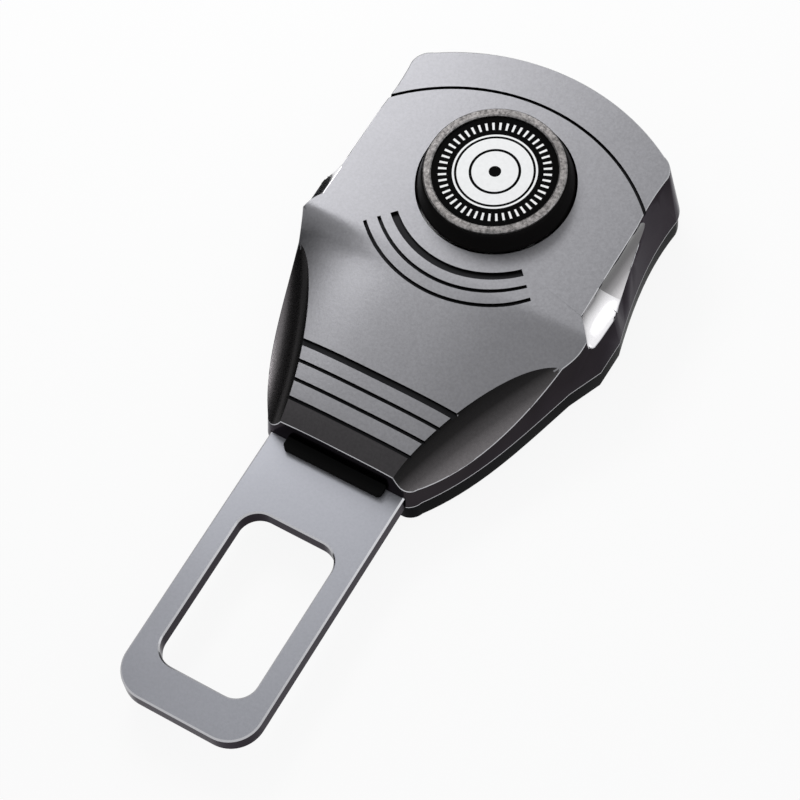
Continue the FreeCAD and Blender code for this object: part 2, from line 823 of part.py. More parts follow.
def revolved(points):
    # A body turned about the button's axis from its half section
    corners = [Vector(r, 0, z) for r, z in points]
    return Part.Face(Part.makePolygon(corners + [corners[0]])).revolve(Vector(0, 0, 0), Vector(0, 0, 1), 360)


def button_body():
    rim_z = face_z + button_rise
    seat_z = knob_under() + button_roof
    low_z = face_z - skirt_drop
    inner = button_radius - button_wall
    body = revolved([
        (0, knob_under()), (inner, knob_under()), (inner, low_z), (button_radius, low_z),
        (button_radius, face_z + button_step), (ring_outer + button_edge, rim_z - button_edge),
        (ring_outer, rim_z), (ring_inner, rim_z), (ring_inner, seat_z), (0, seat_z),
    ])
    # The skirt is cut away over the lever and its pin, and still closes the hole when it is pressed
    notch_y = pivot_y + pin_radius + skirt_notch_gap
    notch = box(-beyond, beyond, -beyond, notch_y, 0, face_z - skirt_left)
    body = body.cut(notch)
    half = lug_width / 2.0
    lug = box(lug_inner, lug_reach, lug_y - half, lug_y + half, low_z, low_z + lug_thick)
    leg_x = lug_reach - leg_width
    tip_z = leg_tip_z()
    half = leg_tip_radius
    leg = box(leg_x, lug_reach, lug_y - half, lug_y + half, tip_z, low_z + lug_thick / 2.0)
    tip = Part.makeCylinder(leg_tip_radius, leg_width, Vector(leg_x, lug_y, tip_z), Vector(1, 0, 0))
    return body.fuse(both_sides(lug.fuse([leg, tip]))).removeSplitter()


def leg_tip_z():
    # Centre of the rounded foot that presses the lever's arm
    return pivot_z + lever_arm_half + leg_tip_radius + leg_gap


def button_ring():
    low = face_z + button_rise
    top = low + ring_height
    return revolved([
        (ring_inner, low), (ring_outer, low), (ring_outer, top - ring_bevel),
        (ring_outer - ring_bevel, top), (ring_inner + ring_bevel, top), (ring_inner, top - ring_bevel),
    ])


def badge_tape():
    seat = knob_under() + button_roof
    return Part.makeCylinder(ring_inner - 0.6, tape_thick, Vector(0, 0, seat))


def badge_disc():
    seat = knob_under() + button_roof + tape_thick
    return Part.makeCylinder(ring_inner - badge_gap, badge_thick, Vector(0, 0, seat))


def button_guide():
    ceiling = face_z - wall
    inner = button_radius + button_gap
    ring = Part.makeCylinder(inner + guide_wall, guide_height, Vector(0, 0, ceiling - guide_height))
    ring = ring.cut(Part.makeCylinder(inner, guide_height, Vector(0, 0, ceiling - guide_height)))
    return ring.common(box(-beyond, beyond, guide_from_y, beyond, 0, beyond))


pieces = {
    "front_cover": front_cover,
    "rear_cover": rear_cover,
    "rear_screws": rear_screws,
    "tongue_plate": tongue_plate,
    "buckle_frame": buckle_frame,
    "frame_rivets": frame_rivets,
    "exit_collar": exit_collar,
    "slot_guide": slot_guide,
    "lock_lever": lock_lever,
    "lever_pin": lever_pin,
    "pin_clips": pin_clips,
    "latch_spring": latch_spring,
    "ejector": ejector,
    "ejector_spring": ejector_spring,
    "button_body": button_body,
    "button_ring": button_ring,
    "badge_disc": badge_disc,
    "badge_tape": badge_tape,
    "button_springs": button_springs,
    "button_guide": button_guide,
}

middle_y = (end_y + tongue_tip_y) / 2.0
os.makedirs("parts", exist_ok=True)
for name, make in pieces.items():
    shape = make()
    shape.translate(Vector(0, -middle_y, 0))
    shape.exportStep("parts/" + name + ".step")
    extent = shape.BoundBox
    print(name, len(shape.Solids), shape.isValid(), round(shape.Volume, 1), round(extent.ZMin, 2),
          round(extent.ZMax, 2))
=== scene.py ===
import math

import bmesh
import bpy
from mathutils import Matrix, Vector


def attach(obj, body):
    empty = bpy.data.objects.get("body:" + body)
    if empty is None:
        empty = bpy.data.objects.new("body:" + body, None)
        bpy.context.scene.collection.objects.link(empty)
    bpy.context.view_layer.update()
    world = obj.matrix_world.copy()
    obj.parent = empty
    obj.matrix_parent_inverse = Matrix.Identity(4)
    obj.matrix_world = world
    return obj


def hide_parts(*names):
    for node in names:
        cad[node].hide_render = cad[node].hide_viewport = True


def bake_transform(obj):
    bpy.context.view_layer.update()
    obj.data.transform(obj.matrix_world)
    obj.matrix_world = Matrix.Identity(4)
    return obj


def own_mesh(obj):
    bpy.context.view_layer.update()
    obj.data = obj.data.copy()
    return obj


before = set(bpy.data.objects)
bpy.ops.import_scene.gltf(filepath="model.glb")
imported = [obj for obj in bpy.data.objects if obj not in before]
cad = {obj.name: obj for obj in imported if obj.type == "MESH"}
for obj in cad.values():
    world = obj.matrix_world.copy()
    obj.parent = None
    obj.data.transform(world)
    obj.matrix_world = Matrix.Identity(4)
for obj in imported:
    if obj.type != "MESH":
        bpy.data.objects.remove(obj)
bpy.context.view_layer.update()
mm = 0.001
print("frame loaded:", len(cad), "nodes")


def put(tree, kind, inputs=None, **settings):
    # adds a shader node, sets its options, then fills or links its sockets
    made = tree.nodes.new("ShaderNode" + kind)
    for key, value in settings.items():
        setattr(made, key, value)
    for key, value in (inputs or {}).items():
        if isinstance(value, bpy.types.NodeSocket):
            tree.links.new(value, made.inputs[key])
        else:
            made.inputs[key].default_value = value
    return made


def calc(tree, operation, a, b=0.0, clamp=False):
    return put(tree, "Math", {0: a, 1: b}, operation=operation, use_clamp=clamp).outputs[0]


def mixColour(tree, factor, a, b, kind="MIX"):
    return put(tree, "Mix", {0: factor, 6: a, 7: b}, data_type="RGBA", blend_type=kind).outputs[2]


def ramp(tree, factor, stops):
    # a stop is (place, grey) or (place, (red, green, blue))
    made = put(tree, "ValToRGB", {"Fac": factor})
    points = made.color_ramp.elements
    while len(points) < len(stops):
        points.new(0.5)
    for point, (at, shade) in zip(points, stops):
        point.position = at
        point.color = (shade, shade, shade, 1.0) if isinstance(shade, float) else (*shade, 1.0)
    return made.outputs["Color"]


def newMaterial(name):
    made = bpy.data.materials.new(name)
    made.use_nodes = True
    tree = made.node_tree
    return made, tree, tree.nodes["Principled BSDF"]


def fill(shader, values):
    # constants go on the shader's own sockets
    for key, value in values.items():
        shader.inputs[key].default_value = value


def dress(piece, *materials):
    piece.data.materials.clear()
    for made in materials:
        piece.data.materials.append(made)


meshing = {
    "mergeGap": 0.001 * mm,
    "flatAngle": 0.4,  # degrees; faces that differ by less become one
    "breakAngle": 38.0,  # degrees; edges sharper than this get a small round
    "breakSegments": 2,
    "smoothAngle": 32.0,  # degrees; edges sharper than this shade as sharp
    "evenWeight": 80,
    "cutGap": 0.0005 * mm,
}
rimIndex = 4  # the material slot that a piece's bright edges use, a painted edge highlight


def cleanCopy(node):
    # the CAD node's own surface as one joined mesh, flat areas as single faces
    form = bmesh.new()
    form.from_mesh(cad[node].data)
    bmesh.ops.remove_doubles(form, verts=form.verts, dist=meshing["mergeGap"])
    bmesh.ops.dissolve_limit(form, angle_limit=math.radians(meshing["flatAngle"]), verts=form.verts,
                             edges=form.edges)
    return form


def breakEdges(form, width, angle=meshing["breakAngle"], rimSlot=-1, keep=None):
    # a small round along every sharp edge, as a tumbled or moulded part has
    sharp = [e for e in form.edges if len(e.link_faces) == 2
             and e.calc_face_angle(0.0) > math.radians(angle) and (keep is None or keep(e))]
    bmesh.ops.bevel(form, geom=sharp, offset=width, offset_type="OFFSET", segments=meshing["breakSegments"],
                    profile=0.5, affect="EDGES", clamp_overlap=False, material=rimSlot, loop_slide=False)


def cutAcross(form, parts, place, direction):
    # splits these parts of the mesh along a plane and takes nothing away
    bmesh.ops.bisect_plane(form, geom=parts, dist=meshing["cutGap"], plane_co=place, plane_no=direction)


def finishPiece(form, name, body, node, materials, trueNormal=None):
    # trueNormal gives the real surface's direction where a region has one;
    # the latch spring comes with no body
    for face in form.faces:
        face.smooth = True
    for edge in form.edges:
        soft = edge.calc_face_angle(0.0) < math.radians(meshing["smoothAngle"])
        edge.smooth = len(edge.link_faces) != 2 or soft
    mesh = bpy.data.meshes.new(name)
    form.to_mesh(mesh)
    form.free()
    piece = bpy.data.objects.new(name, mesh)
    bpy.context.collection.objects.link(piece)
    for made in materials:
        mesh.materials.append(made)
    if trueNormal:
        corners = [Vector(c.vector) for c in mesh.corner_normals]
        for face in mesh.polygons:
            for corner in face.loop_indices:
                place = mesh.vertices[mesh.loops[corner].vertex_index].co
                found = trueNormal(face.material_index, place)
                if face.material_index == rimIndex:
                    corners[corner] = face.normal.copy()
                elif found:
                    corners[corner] = found
        mesh.normals_split_custom_set(corners)
    else:
        even = piece.modifiers.new("evenNormals", "WEIGHTED_NORMAL")
        even.keep_sharp = True
        even.weight = meshing["evenWeight"]
    if body:
        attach(piece, body)
    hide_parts(node)
    print(name, "made:", len(mesh.polygons), "faces")
    return piece


photoCamera = {
    "place": (0.1246, -0.14765, 0.3816),
    "turn": (26.778, 4.513, 30.604),  # degrees
    "lens": 133.515,
    "sensor": 36.0,
    "nearest": 0.01,
}
cameraData = bpy.data.cameras.new("photoCamera")
cameraData.lens = photoCamera["lens"]
cameraData.sensor_width = photoCamera["sensor"]
cameraData.clip_start = photoCamera["nearest"]
camera = bpy.data.objects.new("photoCamera", cameraData)
camera.location = photoCamera["place"]
camera.rotation_euler = [math.radians(a) for a in photoCamera["turn"]]
bpy.context.collection.objects.link(camera)
bpy.context.scene.camera = camera
print("camera set")


studio = {
    "floorSize": 1.6,
    "floorDrop": 0.2 * mm,
    "floorGrey": 0.85,
    "floorRough": 0.9,
    "floorGlow": 0.9,
    "worldFill": 0.55,
    "fillColour": (0.97, 0.985, 1.0, 1),
    "keyPlace": (-0.096, 0.112, 0.155),
    "keySize": (0.16, 0.05),
    "keyPower": 0.19,
    "keyAim": (0.0, 0.10, 0.016),
    "sidePlace": (0.235, 0.105, 0.12),
    "sideSize": (0.14, 0.19),
    "sidePower": 0.03,
    "sideAim": (0.024, 0.025, 0.012),
    "cardX": -0.085,
    "cardY": (-0.07, 0.20),
    "cardTop": 0.065,
    "cardColour": (0.01, 0.01, 0.01, 1),
}
whiteColour = (1, 1, 1, 1)


def areaLight(name, place, size, power, target):
    data = bpy.data.lights.new(name, "AREA")
    data.shape = "RECTANGLE"
    data.size, data.size_y = size
    data.energy = power
    light = bpy.data.objects.new(name, data)
    light.location = place
    light.rotation_euler = (Vector(target) - light.location).to_track_quat("-Z", "Y").to_euler()
    bpy.context.collection.objects.link(light)


def sheet(name, corners, place):
    mesh = bpy.data.meshes.new(name)
    mesh.from_pydata(corners, [], [(0, 1, 2, 3)])
    made = bpy.data.objects.new(name, mesh)
    made.location = place
    bpy.context.collection.objects.link(made)
    return made


areaLight("keyLight", studio["keyPlace"], studio["keySize"], studio["keyPower"], studio["keyAim"])
areaLight("sideLight", studio["sidePlace"], studio["sideSize"], studio["sidePower"], studio["sideAim"])

# the world is white where the camera and glossy rays see it, and a weaker fill for the rest
world = bpy.data.worlds.new("whiteStudio")
bpy.context.scene.world = world
world.use_nodes = True
tree = world.node_tree
tree.nodes.clear()
rays = put(tree, "LightPath").outputs
seen = calc(tree, "MAXIMUM", rays["Is Camera Ray"],
            calc(tree, "MAXIMUM", rays["Is Glossy Ray"], rays["Is Transmission Ray"]))
white = put(tree, "Background", {"Color": whiteColour, "Strength": 1.0})
soft = put(tree, "Background", {"Color": studio["fillColour"], "Strength": studio["worldFill"]})
mixed = put(tree, "MixShader", {0: seen, 1: soft.outputs[0], 2: white.outputs[0]})
put(tree, "OutputWorld", {"Surface": mixed.outputs[0]})

# the floor's glow shows to the camera and to glossy rays only, and keeps the shadow
half = studio["floorSize"] / 2
floor = sheet("studioFloor", [(-half, -half, 0), (half, -half, 0), (half, half, 0), (-half, half, 0)],
              (0, 0, -studio["floorDrop"]))
floorPaper, tree, shader = newMaterial("floorPaper")
fill(shader, {"Base Color": (studio["floorGrey"],) * 3 + (1,), "Roughness": studio["floorRough"],
              "Specular IOR Level": 0.0})
rays = put(tree, "LightPath").outputs
glow = put(tree, "Emission", {"Color": whiteColour, "Strength": 1.0})
paper = put(tree, "MixShader", {0: studio["floorGlow"], 1: shader.outputs[0], 2: glow.outputs[0]})
seen = calc(tree, "MAXIMUM", rays["Is Camera Ray"], rays["Is Glossy Ray"])
mixed = put(tree, "MixShader", {0: seen, 1: shader.outputs[0], 2: paper.outputs[0]})
tree.links.new(mixed.outputs[0], tree.nodes["Material Output"].inputs["Surface"])
dress(floor, floorPaper)

# a black card left of the object, seen only in its polished surfaces, as in product photographs
(lowY, highY), topZ = studio["cardY"], studio["cardTop"]
card = sheet("blackCard", [(0, lowY, 0), (0, highY, 0), (0, highY, topZ), (0, lowY, topZ)],
             (studio["cardX"], 0, 0))
cardFelt, tree, shader = newMaterial("cardFelt")
fill(shader, {"Base Color": studio["cardColour"], "Roughness": 1.0, "Specular IOR Level": 0.0})
dress(card, cardFelt)
card.visible_camera = card.visible_diffuse = card.visible_shadow = card.visible_transmission = False

bpy.context.scene.view_settings.view_transform = "Standard"
print("studio set")


plating = {
    "cloudDetail": 3.0,
    "cloudEdges": (0.3, 0.7),
    "grainDetail": 4.0,
    "grainRough": 0.65,
    "speckEdges": (0.35, 0.65),
    "dentReach": 0.05 * mm,
}
moulding = {
    "fineDetail": 3.0,
    "broadDetail": 2.0,
    "dentReach": 0.04 * mm,
}


def noise(tree, vector, scale, detail, **more):
    return put(tree, "TexNoise", {"Vector": vector, "Scale": scale, "Detail": detail, **more}).outputs["Fac"]


def grainFinish(tree, shader, look, roughBy, dentBy, reach):
    # roughness follows one noise and the fine dents another
    rough = put(tree, "MapRange", {"Value": roughBy, "To Min": look["roughLow"], "To Max": look["roughHigh"]})
    tree.links.new(rough.outputs[0], shader.inputs["Roughness"])
    dent = put(tree, "Bump", {"Height": dentBy, "Strength": look["grainDepth"], "Distance": reach})
    tree.links.new(dent.outputs[0], shader.inputs["Normal"])


def finePlating(name, colour, look, paintedLeanShade=None):
    # plated metal: cloudy tone, fine speckle and a grain that catches the light;
    # paintedLeanShade is a list of stops that paint shade and reflection into the tone by how far the surface
    # leans from level
    made, tree, shader = newMaterial(name)
    coords = put(tree, "TexCoord").outputs
    cloud = noise(tree, coords["Object"], look["cloudScale"], plating["cloudDetail"])
    stretch = put(tree, "Mapping", {"Vector": coords["Object"], "Scale": look["grainStretch"]}).outputs[0]
    grain = noise(tree, stretch, look["grainScale"], plating["grainDetail"], Roughness=plating["grainRough"])
    dark = tuple(c * (1.0 - look["cloudDepth"]) for c in colour)
    light = tuple(min(1.0, c * (1.0 + look["cloudDepth"])) for c in colour)
    low, high = plating["cloudEdges"]
    tone = mixColour(tree, ramp(tree, cloud, [(low, 0.0), (high, 1.0)]), (*dark, 1), (*light, 1))
    if paintedLeanShade:
        # painted shade and reflection: the tone is multiplied by a ramp on the surface's lean
        lean = put(tree, "SeparateXYZ", {"Vector": coords["Normal"]}).outputs["Z"]
        tone = mixColour(tree, 1.0, tone, ramp(tree, lean, paintedLeanShade), "MULTIPLY")
    low, high = plating["speckEdges"]
    speck = ramp(tree, grain, [(low, 1.0 - look["speckle"]), (high, 1.0)])
    tree.links.new(mixColour(tree, 1.0, tone, speck, "MULTIPLY"), shader.inputs["Base Color"])
    grainFinish(tree, shader, look, grain, grain, plating["dentReach"])
    fill(shader, {"Metallic": look["metallic"], "Specular Tint": (*look["edgeTint"], 1.0)})
    return made


def mouldedPlastic(name, colour, look):
    # moulded plastic: a slightly uneven colour and gloss over a fine grain
    made, tree, shader = newMaterial(name)
    place = put(tree, "TexCoord").outputs["Object"]
    fine = noise(tree, place, look["grainScale"], moulding["fineDetail"])
    broad = noise(tree, place, look["cloudScale"], moulding["broadDetail"])
    pale = tuple(c + look["lift"] for c in colour)
    tree.links.new(mixColour(tree, broad, (*colour, 1), (*pale, 1)), shader.inputs["Base Color"])
    grainFinish(tree, shader, look, broad, fine, moulding["dentReach"])
    fill(shader, {"IOR": look["gloss"]})
    return made


satinLook = {
    "cloudScale": 30.0,
    "cloudDepth": 0.05,
    "grainStretch": (1.0, 1.0, 1.0),
    "grainScale": 2400.0,
    "speckle": 0.14,
    "roughLow": 0.34,
    "roughHigh": 0.44,
    "grainDepth": 0.25,
    "metallic": 0.9,
    "edgeTint": (1.0, 1.0, 1.0),
}
polishLook = dict(satinLook, speckle=0.05, roughLow=0.14, roughHigh=0.22, grainDepth=0.04, metallic=1.0)
paintedDarkLook = dict(polishLook, edgeTint=(0.56, 0.55, 0.57), cloudScale=55.0, cloudDepth=0.35)
paintedHighlightLook = dict(polishLook, edgeTint=(0.6, 0.6, 0.6))
leafLook = dict(satinLook, roughLow=0.22, roughHigh=0.32, edgeTint=(0.5, 0.5, 0.5))
stripLook = dict(satinLook, edgeTint=(0.3, 0.3, 0.3))
sheetLook = dict(satinLook, cloudScale=22.0, cloudDepth=0.1, speckle=0.06, grainDepth=0.12)
steelLook = dict(satinLook, cloudScale=80.0, grainStretch=(0.15, 1.0, 1.0), grainScale=1500.0, metallic=1.0)
wireLook = dict(steelLook, grainStretch=(1.0, 1.0, 1.0))
ringLook = dict(satinLook, grainScale=2300.0, speckle=0.75, grainDepth=0.9, edgeTint=(0.5, 0.48, 0.48))
# stops of painted shade and reflection by lean, for the side hollows and the leaf hollows
greyPaintedLeanShade = [(0.10, 0.10), (0.30, 0.22), (0.48, 0.50), (0.64, 1.0)]
brightPaintedLeanShade = [(0.12, 0.22), (0.34, 0.55), (0.58, 1.0)]
leafLean = [(0.30, 0.06), (0.60, 0.10), (0.84, 0.40), (0.97, 0.9), (1.0, 1.0)]

faceSatin = finePlating("faceSatin", (0.20, 0.20, 0.212), satinLook)
# the walls are the face's own metal painted dark, a painted dark reflection
wallPaintedDarkReflection = finePlating("wallPaintedDarkReflection", (0.022, 0.019, 0.021), paintedDarkLook)
# one polished metal in two copies: a painted shaded copy for the upper hollows and a painted lit copy for the
# lower, each with painted shade by lean
hollowPaintedShade = finePlating("hollowPaintedShade", (0.62, 0.605, 0.62), polishLook, greyPaintedLeanShade)
hollowPaintedLight = finePlating("hollowPaintedLight", (0.86, 0.85, 0.87), polishLook, brightPaintedLeanShade)
# the leaf hollows are the face's metal painted dark, with painted shade and reflection by lean
leafPaintedShade = finePlating("leafPaintedShade", (0.17, 0.16, 0.165), leafLook, leafLean)
# the rounded edges' metal painted brighter, a painted highlight
edgePaintedHighlight = finePlating("edgePaintedHighlight", (0.46, 0.46, 0.48), paintedHighlightLook)
# grooves and the button hole's wall painted near black, painted shade in recesses
groovePaintedShade = finePlating("groovePaintedShade", (0.012, 0.012, 0.013), dict(paintedDarkLook, roughLow=0.4, roughHigh=0.5))
stripSmoke = finePlating("stripSmoke", (0.042, 0.040, 0.042), stripLook)
tongueSteel = finePlating("tongueSteel", (0.255, 0.26, 0.285), sheetLook)
frameSteel = finePlating("frameSteel", (0.5, 0.5, 0.49), steelLook)
leverSteel = finePlating("leverSteel", (0.42, 0.42, 0.43), steelLook)
springSteel = finePlating("springSteel", (0.55, 0.55, 0.54), wireLook)
screwSteel = finePlating("screwSteel", (0.35, 0.35, 0.36), wireLook)
ringMetal = finePlating("ringMetal", (0.21, 0.20, 0.197), ringLook)
ringPaintedHighlight = finePlating("ringPaintedHighlight", (0.34, 0.33, 0.33), ringLook)

glossLook = {
    "grainScale": 900.0,
    "cloudScale": 60.0,
    "lift": 0.002,
    "roughLow": 0.16,
    "roughHigh": 0.26,
    "grainDepth": 0.02,
    "gloss": 1.04,
}
mattLook = dict(glossLook, roughLow=0.5, roughHigh=0.62, grainDepth=0.25)
buttonLook = dict(glossLook, roughLow=0.28, roughHigh=0.38, grainDepth=0.08, gloss=1.08)
foamLook = dict(mattLook, roughLow=0.8, roughHigh=0.95, grainDepth=0.6)

glossBlack = mouldedPlastic("glossBlack", (0.004, 0.004, 0.005), glossLook)
buttonBlack = mouldedPlastic("buttonBlack", (0.005, 0.0045, 0.0045), buttonLook)
mattBlack = mouldedPlastic("mattBlack", (0.006, 0.006, 0.006), mattLook)
acetal = mouldedPlastic("acetal", (0.74, 0.73, 0.69), dict(mattLook, gloss=1.45))
tapeFoam = mouldedPlastic("tapeFoam", (0.04, 0.04, 0.04), foamLook)
print("finishes made")


finishOf = {
    "front_cover": faceSatin,
    "rear_cover": glossBlack,
    "rear_screws": screwSteel,
    "tongue_plate": tongueSteel,
    "buckle_frame": frameSteel,
    "frame_rivets": frameSteel,
    "exit_collar": mattBlack,
    "slot_guide": mattBlack,
    "lock_lever": leverSteel,
    "lever_pin": leverSteel,
    "pin_clips": springSteel,
    "latch_spring": springSteel,
    "ejector": acetal,
    "ejector_spring": springSteel,
    "button_body": buttonBlack,
    "button_ring": ringMetal,
    "badge_disc": buttonBlack,
    "badge_tape": tapeFoam,
    "button_springs": springSteel,
    "button_guide": mattBlack,
}
for name, made in finishOf.items():
    dress(cad[name], made)
print("CAD nodes finished")


# front shell: the satin face, its walls painted dark as a painted dark reflection, the side hollows as
# painted lit and shaded copies, the leaf hollows and grooves painted dark as painted shade, and rims painted
# bright as a painted highlight; stations run along y from the button's axis
shell = {
    "axisY": 33.45 * mm,
    "faceZ": 16.0 * mm,
    "partingZ": 4.5 * mm,
    "rollHalf": 21.0 * mm,
    # station, fall of the middle and how much lower the side lies, in millimetres
    "rows": [(-13.1, 0.0, 0.0), (-14.2, 0.02, 0.3), (-15.6, 0.12, 1.4), (-17.2, 0.32, 2.6), (-19.4, 0.6, 3.2),
             (-24.0, 1.2, 3.3), (-30.0, 2.0, 3.3), (-36.0, 2.8, 3.3), (-40.0, 3.4, 3.3), (-43.5, 4.1, 3.3),
             (-46.5, 5.0, 3.3), (-49.5, 6.0, 3.3)],
    "stripY": -42.1 * mm,
    "beadHeight": 0.15 * mm,
    "holeRadius": 12.4 * mm,
    "draft": 7.0,  # degrees
    "leafTop": (20.6 * mm, -22.4 * mm, 11.5 * mm),
    "leafFoot": (10.7 * mm, -45.6 * mm, 9.0 * mm),
    "leafLean": 51.0,  # degrees
    "leafRadius": (4.8 * mm, 6.0 * mm),  # at the ends and in the middle
    "hollowY": (-15.8 * mm, 11.6 * mm),
    "hollowFoot": 10.2 * mm,
    # side hollows: station, inner edge, its drop, drop of the outer ridge, depth of the arc
    "upperRows": [(11.0, 21.25, 0.0, 0.1, 0.02), (3.6, 21.25, 0.0, 3.3, 0.12), (-3.0, 21.25, 0.0, 4.9, 0.45),
                  (-8.0, 21.25, 0.0, 5.0, 0.6)],
    "lowerRows": [(-5.2, 21.25, 0.0, 4.8, 0.3), (-9.4, 21.25, 0.0, 4.9, 1.0), (-13.1, 21.25, 0.0, 4.7, 0.9),
                  (-15.7, 23.55, 3.9, 4.2, 0.02)],
    "leastDepth": 0.02 * mm,
    # the ridge between the upper and the lower hollow: a point on it and the plane's direction
    "crossPoint": (21.8 * mm, -7.7 * mm, 15.5 * mm),
    "crossAcross": (0.918, -4.476, -1.428),
    "shadeShift": 1.6 * mm,  # the face's light turns this much further down than its crease
    "rimWidth": 0.09 * mm,
    "softWidth": 0.05 * mm,
    "outlineSteps": 28,
    "probeStep": 0.1 * mm,
}

# how near a face of the mesh has to lie to a surface, and how well their directions agree, to belong to it
region = {
    "faceGap": 0.2 * mm,
    "faceMatch": 0.92,
    "edgeGap": 0.01 * mm,
    "beadLean": 0.5,
    "leafStart": -20 * mm,
    "leafGap": 0.1 * mm,
    "leafMatch": 0.9,
    "underLean": -0.2,
    "footHeight": 0.3 * mm,
    "grooveReach": 0.75 * mm,
    "grooveSideLean": 0.03,
    "grooveFloorDepth": 0.45 * mm,
    "grooveFloorLean": 0.8,
    "hollowInset": 0.2 * mm,
    "hollowGap": 0.12 * mm,
}
# the shell's material slots; rimIndex is the one between inLeaf and inGroove
onFace, onWall, inLowerHollow, inLeaf, inGroove, onStrip, inUpperHollow = 0, 1, 2, 3, 5, 6, 7


def alongRows(rows, y, column):
    # a value of the rows at one station, and how fast it changes there
    y = y / mm
    if y >= rows[0][0]:
        return rows[0][column] * mm, 0.0
    i = 0
    while i < len(rows) - 2 and y < rows[i + 1][0]:
        i += 1

    def slope(k):
        if k == 0:
            return 0.0
        before, after = rows[k - 1], rows[min(k + 1, len(rows) - 1)]
        return (after[column] - before[column]) / (after[0] - before[0])

    step = rows[i + 1][0] - rows[i][0]
    t = (y - rows[i][0]) / step
    a, b = rows[i][column], rows[i + 1][column]
    p, q = slope(i) * step, slope(i + 1) * step
    value = a + p * t + (3 * (b - a) - 2 * p - q) * t ** 2 + (2 * (a - b) + p + q) * t ** 3
    change = (p + 2 * (3 * (b - a) - 2 * p - q) * t + 3 * (2 * (a - b) + p + q) * t ** 2) / step
    return value * mm, change


def faceAt(x, y):
    # height of the face and its direction
    fall, fallChange = alongRows(shell["rows"], y, 1)
    roll, rollChange = alongRows(shell["rows"], y, 2)
    out = abs(x) / shell["rollHalf"]
    height = shell["faceZ"] - fall - roll * out ** 3
    acrossSlope = -3 * roll * out ** 2 / shell["rollHalf"] * (1 if x > 0 else -1)
    alongSlope = -fallChange - rollChange * out ** 3
    return height, Vector((-acrossSlope, -alongSlope, 1.0)).normalized()


def leafAt(point):
    # distance from the round tool that cut the leaf hollow on the point's side, and the hollow's direction
    side = 1 if point.x > 0 else -1
    lean = math.radians(shell["leafLean"])
    endRadius, midRadius = shell["leafRadius"]
    top = Vector(shell["leafTop"])
    start = top + Vector((math.cos(lean), 0, math.sin(lean))) * endRadius
    run = Vector(shell["leafFoot"]) - top
    length = run.length
    run.normalize()
    bow = ((length / 2) ** 2 + (midRadius - endRadius) ** 2) / (2 * (midRadius - endRadius))
    local = Vector((point.x * side, point.y - shell["axisY"], point.z)) - start
    along = local.dot(run)
    off = along - length / 2
    root = math.sqrt(max(0.0, bow ** 2 - off ** 2))
    spoke = local - run * along
    out = (run * (-off / root) - spoke.normalized()).normalized()
    return abs(spoke.length - (midRadius - bow + root)), Vector((out.x * side, out.y, out.z))


def outlineOf(form):
    # the shell's lower outer edge on one side, as stations with the half width there
    ends = [sorted((v.co for v in edge.verts), key=lambda co: co.y) for edge in form.edges
            if all(v.co.x > 0 and abs(v.co.z - shell["partingZ"]) < region["edgeGap"] for v in edge.verts)]
    low, high = shell["hollowY"]
    steps = shell["outlineSteps"]
    found = []
    for i in range(steps + 1):
        y = shell["axisY"] + low + (high - low) * i / steps
        found.append((y, max(a.x + (b.x - a.x) * (y - a.y) / (b.y - a.y) for a, b in ends if a.y <= y < b.y)))
    return found


def halfAt(y):
    # the half width at one station, and how fast it changes there
    i = min(len(outline) - 2, max(0, int((y - outline[0][0]) / (outline[1][0] - outline[0][0]))))
    a, b = outline[i], outline[i + 1]
    slope = (b[1] - a[1]) / (b[0] - a[0])
    return a[1] + slope * (y - a[0]), slope


def wallAt(point):
    # the direction of the drafted side wall beside a point
    lean = math.radians(shell["draft"])
    level = Vector((1.0 if point.x > 0 else -1.0, -halfAt(point.y)[1], 0.0)).normalized()
    return level * math.cos(lean) + Vector((0, 0, math.sin(lean)))


def hollowAt(point, rows):
    # distance from the arc swept along the side, and the hollow's direction
    def gap(x, y, z):
        station = y - shell["axisY"]
        innerX, innerDrop, ridgeDrop, depth = (alongRows(rows, station, k)[0] for k in (1, 2, 3, 4))
        depth = max(depth, shell["leastDepth"])
        startZ, ridgeZ = shell["faceZ"] - innerDrop, shell["faceZ"] - ridgeDrop
        ridgeX = halfAt(y)[0] - math.tan(math.radians(shell["draft"])) * (ridgeZ - shell["partingZ"])
        chord = math.hypot(ridgeX - innerX, ridgeZ - startZ)
        radius = (chord ** 2 / 4 + depth ** 2) / (2 * depth)
        alongX, alongZ = (ridgeX - innerX) / chord, (ridgeZ - startZ) / chord
        centreX = (innerX + ridgeX) / 2 - alongZ * (radius - depth)
        centreZ = (startZ + ridgeZ) / 2 + alongX * (radius - depth)
        return radius - math.hypot(x - centreX, z - centreZ)

    side = 1 if point.x > 0 else -1
    x, y, z, step = abs(point.x), point.y, point.z, shell["probeStep"]
    out = Vector(((gap(x + step, y, z) - gap(x - step, y, z)) * side,
                  gap(x, y + step, z) - gap(x, y - step, z),
                  gap(x, y, z + step) - gap(x, y, z - step)))
    return abs(gap(x, y, z)), out.normalized()


